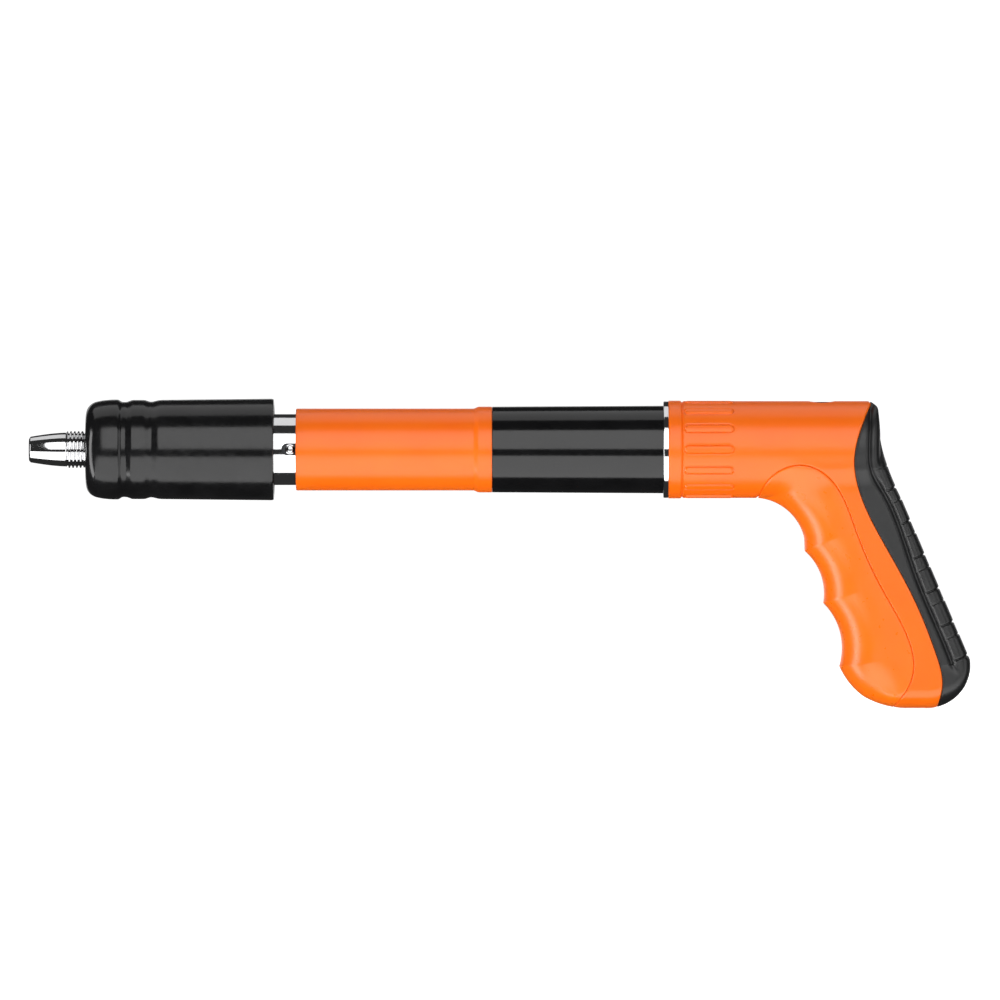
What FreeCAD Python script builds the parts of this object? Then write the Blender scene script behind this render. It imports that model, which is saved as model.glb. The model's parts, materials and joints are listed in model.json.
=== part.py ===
"""Powder-actuated nail gun with a muffler, a two-part sliding barrel group and a pistol grip.

Millimetres. The origin is the centre of the nozzle's mouth, on the bore axis. The muzzle points
to -X, +Z is up, and the grip hangs down and back. Y is the direction across the grip.
"""
import FreeCAD, Part
import math
import os

V = FreeCAD.Vector
AXIS = V(1, 0, 0)

# --- Driving dimensions ---------------------------------------------------------------------

# Fits, as radial gaps
running_gap = 0.05          # a shaft that slides or turns in its bush
free_gap = 0.3              # pieces that pass each other without touching
face_gap = 0.1              # flat faces that stop each other

# Strokes
press_stroke = 8.0          # barrel and muffler, pushed back against the work
press_margin = 0.8          # what is left between muffler and sleeve when pressed
slide_stroke = 34.0         # slide tube, pulled forward to cock
cock_stroke = 33.0          # striker, back to the sear
pin_stroke = 3.0            # firing pin, forward
sear_angle = 20.0           # sear, inward, degrees

# Nozzle and barrel
bore_r = 3.9                # the nail's bore at the nozzle
nozzle_tip_r = 5.1
nozzle_root_r = 6.8
nozzle_thread_r = 7.4
nose_length = 14.8          # smooth nose in front of the thread
thread_length = 7.2
thread_relief = 0.8            # undercut between the thread and the muffler's front
nozzle_neck_r = 7.2
nozzle_neck = 3.2           # nozzle behind the thread, up to the barrel's end
nozzle_flange_r = 10.0
nozzle_flange_length = 8.0
chamber_r = 4.1             # bore of the barrel behind the nozzle
barrel_spigot_r = 6.0
barrel_r = 8.0
port_r = 1.2                # gas ports from the bore into the muffler
port_count = 6

# Slide tube, the size that the rest of the tubes are built around
slide_r = 14.3
slide_wall = 1.8
slide_in_muffler = 18.0     # length of slide tube that runs inside the muffler
slot_width = 4.8
stop_screw_r = 2.0
slot_lead = 3.5             # slot's front end in front of the stop screw's axis

# Walls built outwards from the slide tube
housing_gap = 0.4           # between the slide tube and the housing's bore
housing_thin_wall = 0.7     # housing tube under the sleeve
sleeve_wall = 1.0
sleeve_collar_step = 0.8
housing_step = 0.8          # housing tube behind the sleeve, outside the sleeve's own radius
collar_step = 1.8
muffler_step = 5.6          # muffler's body radius outside the slide tube
muffler_wall = 2.4
muffler_front_step = 0.3       # the front is this much slimmer, and the rear this much fuller
muffler_rear_step = 0.5
muffler_groove_depth = 0.8
muffler_groove_place = 13.2    # from the muffler's front to the first of its two grooves
hub_length = 6.0
baffle_count = 3
baffle_thickness = 2.0
baffle_hole_r = 1.8
baffle_hole_count = 8
absorber_length = 7.0
absorber_room = 3.0            # between the barrel and the absorber's bore
rear_bush_inset = 1.0          # muffler's rear bush, in from the muffler's rear
muffler_bush_length = 11.0

# Lengths along the axis
muffler_length = 75.2
muffler_front_corner = 5.5
sleeve_length = 71.2
sleeve_cone = 1.6
sleeve_collar = 5.6
housing_show = 68.4
collar_length = 2.2

# Barrel collar that carries the stop screws, and what is behind it
flange_setback = 1.0        # behind the muffler's rear
flange_length = 11.0
stop_screw_setback = 5.6
breech_inset = 13.0         # breech plug's front, in front of the collar
breech_length = 60.0
breech_cavity_start = 26.0
retainer_length = 5.9
pin_tip_r = 2.0
pin_head_r = 5.0
pin_head_length = 16.0
pin_tail_r = 3.0
pin_tail_show = 10.0
pin_spring_length = 12.0
press_spring_length = 40.0
spring_seat_length = 4.0
press_wire_r = 1.0             # half the side of the press spring's square wire
press_coils = 8
pin_wire_r = 0.5
pin_coils = 5

# Striker
striker_nose_r = 6.0
striker_nose_length = 11.7
striker_length = 24.0
cocking_pin_r = 1.8
cocking_pin_inset = 12.0
striker_spring_solid = 33.0
striker_wire_r = 0.8
striker_coils = 12
slide_plug_length = 14.0
sear_lead = 0.6             # sear's front behind the striker at rest
sear_length = 8.0
sear_width = 4.0
sear_pivot_inset = 1.4
sear_pin_r = 0.4
sear_pin_half = 3.6

# Housing's inner pieces
wiper_length = 1.8
front_bush_length = 9.8
rear_bush_length = 10.0
stop_ring_length = 3.8
stop_ring_inset = 9.8
bumper_length = 4.0
housing_engage = 12.0       # housing tube past the bumper, over the end plug

# Handle
barrel_wall = 1.8           # handle barrel outside the housing tube
band_step = 0.2
band_length = 5.0
seam_depth = 0.4
seam_width = 0.7
rib_count = 14
rib_width = 3.0
rib_length = 19.6
rib_height = 0.3
rib_start = 6.2
plug_pocket_length = 70.2   # from the handle's front to the end of the end plug's pocket
grip_half_width = 17.0
grip_half_depth = 23.4
grip_round = 15.0           # depth of the rounded front and back of the grip's section
grip_lean = 23.0            # degrees from upright
grip_wall = 3.5
top_screw_place = 61.2      # from the handle's front
top_recess_r = 5.0
top_recess_depth = 0.4
top_head_r = 4.6
top_head_length = 2.6
top_socket_r = 1.9
top_socket_depth = 1.6
top_shank_r = 2.0
top_shank_length = 9.0
boss_r = 3.8
screw_r = 1.5
screw_head_r = 2.6
screw_head_length = 2.4
screw_head_sink = 1.0
screw_length = 24.0

# --- Radii and stations worked out from them ------------------------------------------------

slide_bore = slide_r - slide_wall
housing_bore = slide_r + housing_gap
bush_seat_r = housing_bore + housing_thin_wall
sleeve_r = bush_seat_r + sleeve_wall
sleeve_collar_r = sleeve_r + sleeve_collar_step
housing_r = sleeve_r + housing_step
housing_rear_r = housing_r + 0.4
handle_r = housing_rear_r + barrel_wall
muffler_r = slide_r + muffler_step
muffler_bore = muffler_r - muffler_wall

muffler_front = nose_length + thread_length + thread_relief
muffler_rear = muffler_front + muffler_length
barrel_front = muffler_front + nozzle_neck
sleeve_front = muffler_rear + press_stroke + press_margin
sleeve_cone_start = sleeve_front + sleeve_length
sleeve_rear = sleeve_cone_start + sleeve_cone + sleeve_collar
collar_front = sleeve_rear + housing_show
handle_front = collar_front + collar_length

slide_front = muffler_rear - slide_in_muffler
hub_rear = barrel_front + nozzle_flange_length + hub_length
absorber_rear = slide_front - press_stroke - 0.5
absorber_front = absorber_rear - absorber_length
flange_front = muffler_rear + flange_setback
flange_rear = flange_front + flange_length
flange_r = slide_bore - free_gap
stop_screw_x = flange_front + stop_screw_setback
breech_front = flange_front - breech_inset
breech_rear = breech_front + breech_length
pin_head_front = breech_front + breech_cavity_start + pin_spring_length
pin_head_rear = pin_head_front + pin_head_length
pin_tail_end = breech_rear + pin_tail_show
spring_seat_front = flange_rear + press_spring_length

striker_front = pin_tail_end + press_stroke + free_gap
striker_shoulder = striker_front + striker_nose_length
striker_rear = striker_shoulder + striker_length
cocking_pin_x = striker_shoulder + cocking_pin_inset
slide_plug_front = striker_rear + cock_stroke + striker_spring_solid
slide_rear = slide_plug_front + slide_plug_length
sear_front = striker_rear + sear_lead
sear_pivot_x = sear_front + sear_pivot_inset
sear_low_z = slide_bore + 0.25
sear_high_z = slide_r - free_gap
sear_pivot_z = (sear_low_z + sear_high_z) / 2 - 0.15

stop_ring_front = slide_rear - stop_ring_inset
rear_bush_rear = stop_ring_front - slide_stroke - face_gap
bush_front = sleeve_front + 0.6 + wiper_length
housing_front = bush_front + front_bush_length
bumper_front = slide_rear + free_gap
plug_front = bumper_front + bumper_length
housing_rear = plug_front + housing_engage
plug_rear = handle_front + plug_pocket_length
grip_top = handle_r * 0.3   # the grip's solid ends inside the handle's barrel
pocket_half_width = grip_half_width - grip_wall

# --- Shape helpers --------------------------------------------------------------------------


def outline(start, *steps):
    """A closed wire in the XZ plane. A step is a point, an arc (middle, end) or a list to spline."""
    edges = []
    here = V(start[0], 0, start[1])
    for step in steps:
        if isinstance(step, list):
            points = [here] + [V(x, 0, z) for x, z in step]
            curve = Part.BSplineCurve()
            curve.interpolate(points)
            edges.append(curve.toShape())
            here = points[-1]
        elif isinstance(step[0], tuple):
            middle, end = [V(x, 0, z) for x, z in step]
            edges.append(Part.Arc(here, middle, end).toShape())
            here = end
        else:
            end = V(step[0], 0, step[1])
            edges.append(Part.makeLine(here, end))
            here = end
    first = V(start[0], 0, start[1])
    if here.distanceToPoint(first) > 1e-6:
        edges.append(Part.makeLine(here, first))
    return Part.Wire(edges)


def turned(start, *steps):
    """A solid of revolution about the bore axis, from an outline of (x, radius) points."""
    return Part.Face(outline(start, *steps)).revolve(V(0, 0, 0), AXIS, 360)


def slab(wire, half_width):
    """The wire's face, made solid from -half_width to +half_width across the grip."""
    face = Part.Face(wire)
    face.translate(V(0, -half_width, 0))
    return face.extrude(V(0, 2 * half_width, 0))


def rod(start, end, radius):
    return Part.makeCylinder(radius, end - start, V(start, 0, 0), AXIS)


def ring(start, end, inner, outer):
    return rod(start, end, outer).cut(rod(start, end, inner))


def cross_rod(x, z, y_start, y_end, radius):
    return Part.makeCylinder(radius, y_end - y_start, V(x, y_start, z), V(0, 1, 0))


def box(x0, x1, y0, y1, z0, z1):
    return Part.makeBox(x1 - x0, y1 - y0, z1 - z0, V(x0, y0, z0))


def through_slot(x_front, x_rear, width, half_depth):
    """A round-ended slot across the tube, from side to side."""
    half = width / 2
    front, rear = x_front + half, x_rear - half
    shape = box(front, rear, -half_depth, half_depth, -half, half)
    for x in (front, rear):
        shape = shape.fuse(cross_rod(x, 0, -half_depth, half_depth, half))
    return shape


def spring(start, end, mean_r, wire_r, turns, square=False):
    """An open coil between two planes across the axis, of round or square wire."""
    height = end - start - 2 * wire_r
    coil = Part.makeHelix(height / turns, height, mean_r)
    if square:
        low, high = mean_r - wire_r, mean_r + wire_r
        corners = [(low, -wire_r), (high, -wire_r), (high, wire_r), (low, wire_r), (low, -wire_r)]
        section = Part.makePolygon([V(x, 0, z) for x, z in corners])
    else:
        section = Part.Wire([Part.makeCircle(wire_r, V(mean_r, 0, 0), V(0, 1, 0))])
    solid = Part.Wire(coil.Edges).makePipeShell([section], True, True)
    solid.rotate(V(0, 0, 0), V(0, 1, 0), 90)
    solid.translate(V(start + wire_r, 0, 0))
    return solid


def around(count, shape, offset=0.0):
    """Copies of a shape, evenly spaced about the bore axis."""
    copies = []
    for i in range(count):
        copy = shape.copy()
        copy.rotate(V(0, 0, 0), AXIS, offset + 360.0 * i / count)
        copies.append(copy)
    return copies


def radial_hole(x, radius, reach):
    return Part.makeCylinder(radius, reach, V(x, 0, 0), V(0, 0, 1))


# --- Barrel group: moves back when the nozzle is pressed to the work ------------------------


def nozzle():
    flange_start = muffler_front + nozzle_neck
    flange_end = flange_start + nozzle_flange_length
    bulge = ((nozzle_tip_r + nozzle_root_r) / 2) + 0.35
    body = turned(
        (0, bore_r),
        (0, nozzle_tip_r - 0.4),
        ((0.12, nozzle_tip_r - 0.12), (0.4, nozzle_tip_r)),
        ((nose_length / 2, bulge), (nose_length - 0.6, nozzle_root_r)),
        (nose_length, nozzle_thread_r),
        (nose_length + thread_length, nozzle_thread_r),
        (nose_length + thread_length, nozzle_neck_r),
        (flange_start, nozzle_neck_r),
        (flange_start, nozzle_flange_r),
        (flange_end, nozzle_flange_r),
        (flange_end, barrel_spigot_r),
        (flange_start, barrel_spigot_r),
        (flange_start, bore_r),
    )
    return body


def barrel_tube():
    shoulder = barrel_front + nozzle_flange_length
    body = turned(
        (barrel_front, chamber_r),
        (barrel_front, barrel_spigot_r),
        (shoulder, barrel_spigot_r),
        (shoulder, barrel_r),
        (flange_front, barrel_r),
        (flange_front, flange_r),
        (flange_rear, flange_r),
        (flange_rear, barrel_spigot_r),
        (breech_front, barrel_spigot_r),
        (breech_front, chamber_r),
    )
    port = radial_hole(shoulder + 2 * nozzle_flange_length, port_r, barrel_r + 1)
    body = body.cut(around(port_count, port))
    return body.cut(cross_rod(stop_screw_x, 0, -slide_r, slide_r, stop_screw_r))


def stop_screws():
    """Two screws in the barrel's collar, whose ends run in the slide tube's slots."""
    near = cross_rod(stop_screw_x, 0, -slide_r + free_gap, -barrel_spigot_r, stop_screw_r)
    far = cross_rod(stop_screw_x, 0, barrel_spigot_r, slide_r - free_gap, stop_screw_r)
    return Part.makeCompound([near, far])


def breech_plug():
    cavity = breech_front + breech_cavity_start
    return turned(
        (breech_front, pin_tip_r + running_gap),
        (breech_front, barrel_spigot_r),
        (flange_rear, barrel_spigot_r),
        (flange_rear, barrel_r),
        (breech_rear, barrel_r),
        (breech_rear, pin_head_r + running_gap),
        (cavity, pin_head_r + running_gap),
        (cavity, pin_tip_r + running_gap),
    )


def pin_retainer():
    return ring(breech_rear - retainer_length, breech_rear, pin_tail_r + free_gap, pin_head_r + running_gap)


def muffler_shell():
    rise = muffler_front_corner
    knee = rise * (1 - math.sqrt(0.5))
    front_r = muffler_r - muffler_front_step
    groove = muffler_front + muffler_groove_place
    low_r = muffler_r - muffler_groove_depth
    return turned(
        (muffler_front, nozzle_neck_r),
        (muffler_front, front_r - rise),
        ((muffler_front + knee, front_r - knee), (muffler_front + rise, front_r)),
        ((groove - 3.0, muffler_r + 0.15), (groove, muffler_r + 0.1)),
        (groove + 1.2, low_r),
        (groove + 4.0, low_r),
        (groove + 5.4, muffler_r),
        (groove + 10.4, muffler_r),
        (groove + 12.8, low_r),
        (groove + 16.4, muffler_r),
        (muffler_rear - 1.0, muffler_r + muffler_rear_step),
        ((muffler_rear - 0.3, muffler_r + 0.2), (muffler_rear, muffler_r - 0.5)),
        (muffler_rear, muffler_bore),
        (muffler_front + nozzle_neck, muffler_bore),
        (muffler_front + nozzle_neck, nozzle_neck_r),
    )


def muffler_hub():
    return ring(hub_rear - hub_length, hub_rear, barrel_r, muffler_bore)


def muffler_baffles():
    """Discs on the barrel between the hub and the absorber, each with a circle of gas holes."""
    hole_circle = (barrel_r + muffler_bore) / 2
    hole = Part.makeCylinder(baffle_hole_r, 2 * baffle_thickness, V(-1, 0, hole_circle), AXIS)
    disc = ring(0, baffle_thickness, barrel_r, muffler_bore).cut(around(baffle_hole_count, hole))
    pitch = (absorber_front - hub_rear) / baffle_count
    discs = []
    for i in range(baffle_count):
        copy = disc.copy()
        copy.translate(V(hub_rear + pitch * (i + 1) - baffle_thickness, 0, 0))
        discs.append(copy)
    return Part.makeCompound(discs)


def sound_absorber():
    return ring(absorber_front, absorber_rear, barrel_r + absorber_room, muffler_bore)


def muffler_rear_bush():
    end = muffler_rear - rear_bush_inset
    return ring(end - muffler_bush_length, end, slide_r + running_gap, muffler_bore)


# --- Slide tube group: pulled forward out of the housing to cock ----------------------------


def slide_tube():
    body = ring(slide_front, slide_rear, slide_bore, slide_r)
    reach = slide_r + 1
    stop_rear = stop_screw_x + press_stroke + stop_screw_r + 1.4
    body = body.cut(through_slot(stop_screw_x - slot_lead, stop_rear, slot_width, reach))
    side = cocking_pin_r + 0.4
    cock_rear = cocking_pin_x + cock_stroke + side
    body = body.cut(through_slot(cocking_pin_x - side, cock_rear, 2 * side, reach))
    half = sear_width / 2 + free_gap
    window_rear = sear_front + sear_length + 1.0
    body = body.cut(box(sear_front - 0.4, window_rear, -half, half, 0, reach))
    return body.cut(cross_rod(sear_pivot_x, sear_pivot_z, -sear_pin_half, sear_pin_half, sear_pin_r))


def front_guide():
    return ring(slide_front, flange_front - face_gap, barrel_r + running_gap, slide_bore)


def spring_seat():
    end = spring_seat_front + spring_seat_length
    return ring(spring_seat_front, end, barrel_r + free_gap, slide_bore)


def press_spring():
    mean = (barrel_r + slide_bore) / 2
    return spring(flange_rear + face_gap, spring_seat_front, mean, press_wire_r, press_coils, square=True)


def slide_plug():
    return rod(slide_plug_front, slide_rear, slide_bore)


def stop_ring():
    end = stop_ring_front + stop_ring_length
    return ring(stop_ring_front, end, slide_r, bush_seat_r - running_gap)


def sear_pin():
    return cross_rod(sear_pivot_x, sear_pivot_z, -sear_pin_half, sear_pin_half, sear_pin_r)


# --- Firing train ---------------------------------------------------------------------------


def firing_pin():
    tip = breech_front + pin_stroke - 1.0
    return turned(
        (tip, 0),
        (tip, pin_tip_r),
        (pin_head_front, pin_tip_r),
        (pin_head_front, pin_head_r),
        (pin_head_rear - face_gap, pin_head_r),
        (pin_head_rear - face_gap, pin_tail_r),
        (pin_tail_end, pin_tail_r),
        (pin_tail_end, 0),
    )


def firing_pin_spring():
    start = breech_front + breech_cavity_start
    mean = (pin_tip_r + pin_head_r) / 2
    return spring(start, pin_head_front - face_gap, mean, pin_wire_r, pin_coils)


def striker():
    body_r = slide_bore - running_gap
    body = turned(
        (striker_front, 0),
        (striker_front, striker_nose_r),
        (striker_shoulder, striker_nose_r),
        (striker_shoulder, body_r),
        (striker_rear, body_r),
        (striker_rear, 0),
    )
    return body.cut(cross_rod(cocking_pin_x, 0, -slide_r, slide_r, cocking_pin_r))


def cocking_pin():
    return cross_rod(cocking_pin_x, 0, -slide_r + 0.1, slide_r - 0.1, cocking_pin_r)


def striker_spring():
    start = striker_rear + face_gap
    return spring(start, slide_plug_front, striker_nose_r, striker_wire_r, striker_coils)


def sear():
    half = sear_width / 2
    body = box(sear_front, sear_front + sear_length, -half, half, sear_low_z, sear_high_z)
    return body.cut(cross_rod(sear_pivot_x, sear_pivot_z, -half, half, sear_pin_r + running_gap))


# --- Receiver: sleeve, housing tube and what they hold --------------------------------------


def fore_sleeve():
    edge = 0.7
    return turned(
        (sleeve_front, bush_seat_r),
        (sleeve_front, sleeve_r - edge),
        ((sleeve_front + 0.2, sleeve_r - 0.2), (sleeve_front + edge, sleeve_r)),
        (sleeve_cone_start, sleeve_r),
        (sleeve_cone_start + sleeve_cone, sleeve_collar_r),
        (sleeve_rear, sleeve_collar_r),
        (sleeve_rear, bush_seat_r),
    )


def wiper_seal():
    return ring(bush_front - wiper_length, bush_front, slide_r + running_gap, bush_seat_r)


def front_bush():
    return ring(bush_front, housing_front, slide_r + running_gap, bush_seat_r)


def housing_tube():
    seat = rear_bush_rear - rear_bush_length
    return turned(
        (housing_front, housing_bore),
        (housing_front, bush_seat_r),
        (sleeve_rear, bush_seat_r),
        (sleeve_rear, housing_r),
        (collar_front, housing_rear_r),
        (housing_rear, housing_rear_r),
        (housing_rear, bush_seat_r),
        (seat, bush_seat_r),
        (seat, housing_bore),
    )


def rear_bush():
    start = rear_bush_rear - rear_bush_length
    return ring(start, rear_bush_rear, slide_r + running_gap, bush_seat_r)


def bumper():
    return ring(bumper_front, plug_front, 4.0, bush_seat_r)


def end_plug():
    """Closes the housing tube and takes the top screw's thread."""
    return rod(plug_front, plug_rear, bush_seat_r).cut(top_screw_room())


def collar_ring():
    edge = 0.3
    return turned(
        (collar_front, housing_rear_r),
        (collar_front, handle_r - edge),
        (collar_front + edge, handle_r),
        (handle_front - edge, handle_r),
        (handle_front, handle_r - edge),
        (handle_front, housing_rear_r),
    )


# --- Handle ---------------------------------------------------------------------------------


def along(offset):
    """A place along the tool, measured from the handle's front."""
    return handle_front + offset


def under(drop):
    """A height measured down from the underside of the handle's barrel."""
    return -handle_r - drop


def grip_outline():
    """The grip's side outline: web, three finger scallops, toe, butt, heel and back."""
    return outline(
        (along(30.0), grip_top),
        (along(30.0), under(-10.0)),
        (along(35.8), under(-0.4)),
        ((along(48.0), under(5.4)), (along(54.2), under(16.0))),
        (along(54.4), under(21.2)),
        ((along(60.8), under(30.6)), (along(61.8), under(42.0))),
        ((along(68.5), under(53.7)), (along(68.2), under(67.2))),
        ((along(72.5), under(74.3)), (along(78.0), under(79.4))),
        ((along(85.5), under(82.6)), (along(94.0), under(84.0))),
        (along(102.0), under(84.0)),
        ((along(117.5), under(76.6)), (along(120.4), under(64.6))),
        (along(92.2), under(-1.6)),
        ((along(86.6), -4.0), (along(84.2), grip_top)),
    )


def grip_section(inset=0.0):
    """The grip's rounded section, carried down along its lean, or the same shape made smaller."""
    lean = math.radians(grip_lean)
    down = V(math.sin(lean), 0, -math.cos(lean))
    back = V(math.cos(lean), 0, math.sin(lean))
    top = V(along(60.3), 0, 0) - down * 60.0
    round_depth = grip_round - inset
    width = grip_half_width - inset
    flat = grip_half_depth - grip_round
    knee = math.sqrt(0.5)

    def place(depth, y):
        return top + back * depth + V(0, y, 0)

    edges = []
    for side in (1, -1):
        flat_end = place(side * flat, side * width)
        front_knee = place(side * (flat + knee * round_depth), side * knee * width)
        tip = place(side * (flat + round_depth), 0)
        rear_knee = place(side * (flat + knee * round_depth), -side * knee * width)
        next_flat = place(side * flat, -side * width)
        curve = Part.BSplineCurve()
        curve.interpolate([flat_end, front_knee, tip, rear_knee, next_flat],
                          InitialTangent=back * side, FinalTangent=back * -side)
        edges.append(Part.makeLine(place(-side * flat, side * width), flat_end))
        edges.append(curve.toShape())
    return Part.Face(Part.Wire(edges)).extrude(down * 200.0)


def handle_body():
    """The whole handle's outer shape, before it is split into its pieces."""
    side = slab(grip_outline(), grip_half_width + 3)
    grip = side.common(grip_section())
    band_end = handle_front + band_length
    barrel = turned(
        (handle_front, 0),
        (handle_front, handle_r + band_step),
        (band_end, handle_r + band_step),
        (band_end, handle_r - seam_depth),
        (band_end + seam_width, handle_r - seam_depth),
        (band_end + seam_width, handle_r),
        (along(79.0), handle_r),
        ((along(82.1), handle_r - 1.1), (along(83.4), handle_r - 4.0)),
        (along(84.0), 0),
    )
    barrel = barrel.common(slab(outline(
        (handle_front, -handle_r - 2),
        (along(62.0), -handle_r - 2),
        (along(90.0), -4.0),
        (along(86.0), handle_r + 2),
        (handle_front, handle_r + 2),
    ), handle_r + 2))
    rib = box(along(rib_start), along(rib_start + rib_length), -rib_width / 2, rib_width / 2,
              handle_r - 2.0, handle_r + rib_height)
    body = barrel.fuse(grip)
    return body.fuse(around(rib_count, rib, 90.0))


def handle_hollow():
    """Space inside the handle: the housing tube, the end plug and the pocket in the grip."""
    hollow = rod(handle_front, housing_rear, housing_rear_r)
    hollow = hollow.fuse(rod(housing_rear, plug_rear, bush_seat_r))
    pocket = slab(outline(
        (along(58.2), under(6.6)),
        (along(80.2), under(70.6)),
        (along(86.2), under(75.6)),
        (along(103.2), under(75.6)),
        (along(112.2), under(66.6)),
        (along(87.2), under(6.6)),
    ), grip_half_width)
    return hollow.fuse(pocket.common(grip_section(grip_wall)))


def finger_zone():
    """In front of the finger grip's seam, as seen from the side."""
    return slab(outline(
        (along(35.8), under(0.0)),
        [(along(40.0), -12.2), (along(53.0), -6.4), (along(64.8), -12.6), (along(74.0), under(11.6)),
         (along(85.0), under(36.4)), (along(95.7), under(57.2)), (along(97.4), under(69.2)),
         (along(93.2), under(78.8)), (along(89.6), under(86.0))],
        (along(30.0), under(86.0)),
        (along(30.0), under(0.0)),
    ), 40.0)


def strap_zone():
    """Behind the back strap's edge, as seen from the side."""
    return slab(outline(
        (along(81.7), handle_r + 2.0),
        [(along(77.0), 9.8), (along(73.8), -4.6), (along(76.2), under(-1.6)), (along(85.8), under(18.4)),
         (along(98.6), under(42.4)), (along(106.2), under(61.6)), (along(109.0), under(73.6)),
         (along(107.2), under(86.0))],
        (along(140.0), under(86.0)),
        (along(140.0), handle_r + 2.0),
    ), 40.0)


def handle_screw_places():
    return [(along(77.4), under(10.6)), (along(88.0), under(31.6)), (along(102.8), under(70.6))]


def top_screw_floor():
    """Height of the seat under the top screw's head."""
    return handle_r - top_recess_depth - top_head_length


def top_screw_room():
    """Space for the top screw, up and out through its recess."""
    x = handle_front + top_screw_place
    up = V(0, 0, 1)
    recess = Part.makeCylinder(top_recess_r, handle_r, V(x, 0, handle_r - top_recess_depth), up)
    seat = Part.makeCylinder(top_head_r, handle_r, V(x, 0, top_screw_floor()), up)
    low = top_screw_floor() - top_shank_length
    shank = Part.makeCylinder(top_shank_r, handle_r, V(x, 0, low), up)
    return recess.fuse(seat).fuse(shank)


def handle_half(body, side):
    """One half shell. side is -1 for the left half and +1 for the right half."""
    half = body.cut(handle_hollow()).cut(strap_zone()).cut(finger_zone())
    reach = 60.0
    low, high = (-reach, 0) if side < 0 else (0, reach)
    whole = box(handle_front - 1, along(150.0), low, high, under(100.0), handle_r + 5)
    half = half.common(whole)
    for x, z in handle_screw_places():
        if side < 0:
            half = half.fuse(cross_rod(x, z, -pocket_half_width - 1, 0, boss_r))
        else:
            half = half.fuse(cross_rod(x, z, 0, pocket_half_width + 1, boss_r))
    half = half.cut(strap_zone()).cut(finger_zone()).cut(top_screw_room())
    for x, z in handle_screw_places():
        half = half.cut(screw_room(x, z))
    return half


def screw_head_low():
    return grip_half_width - screw_head_sink - screw_head_length


def screw_room(x, z):
    hole = cross_rod(x, z, screw_head_low() - screw_length, screw_head_low(), screw_r)
    return hole.fuse(cross_rod(x, z, screw_head_low(), grip_half_width + 5, screw_head_r))


def handle_screws():
    screws = []
    for x, z in handle_screw_places():
        low = screw_head_low()
        shank = cross_rod(x, z, low - screw_length, low, screw_r)
        screws.append(shank.fuse(cross_rod(x, z, low, low + screw_head_length, screw_head_r)))
    return Part.makeCompound(screws)


def finger_grip(body):
    return body.common(finger_zone()).cut(handle_hollow())


def back_strap(body):
    return body.common(strap_zone()).cut(handle_hollow())


def top_screw():
    x = handle_front + top_screw_place
    up = V(0, 0, 1)
    floor = top_screw_floor()
    head = Part.makeCylinder(top_head_r, top_head_length, V(x, 0, floor), up)
    socket_low = floor + top_head_length - top_socket_depth
    socket = Part.makeCylinder(top_socket_r, top_socket_depth, V(x, 0, socket_low), up)
    shank = Part.makeCylinder(top_shank_r, top_shank_length, V(x, 0, floor - top_shank_length), up)
    return head.cut(socket).fuse(shank)


# --- Build and write ------------------------------------------------------------------------


def build():
    body = handle_body()
    makers = [
        nozzle, barrel_tube, stop_screws, breech_plug, pin_retainer, muffler_shell, muffler_hub,
        muffler_baffles, sound_absorber, muffler_rear_bush, slide_tube, front_guide, spring_seat,
        press_spring, slide_plug, stop_ring, sear_pin, firing_pin, firing_pin_spring, striker,
        cocking_pin, striker_spring, sear, fore_sleeve, wiper_seal, front_bush, housing_tube,
        rear_bush, bumper, end_plug, collar_ring, handle_screws, top_screw,
    ]
    nodes = {make.__name__: make() for make in makers}
    nodes["handle_left"] = handle_half(body, -1)
    nodes["handle_right"] = handle_half(body, 1)
    nodes["finger_grip"] = finger_grip(body)
    nodes["back_strap"] = back_strap(body)
    return nodes


os.makedirs("parts", exist_ok=True)
for name, shape in build().items():
    volume = sum(solid.Volume for solid in shape.Solids)
    print(f"{name}: {len(shape.Solids)} solid(s), {volume:.1f} mm3, valid {shape.isValid()}")
    shape.exportStep(f"parts/{name}.step")
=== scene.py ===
"""The looks of a powder-actuated nail gun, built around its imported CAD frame.

Blender works in metres. Outlines are written in millimetres and scaled by MM.
"""
import math

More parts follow.
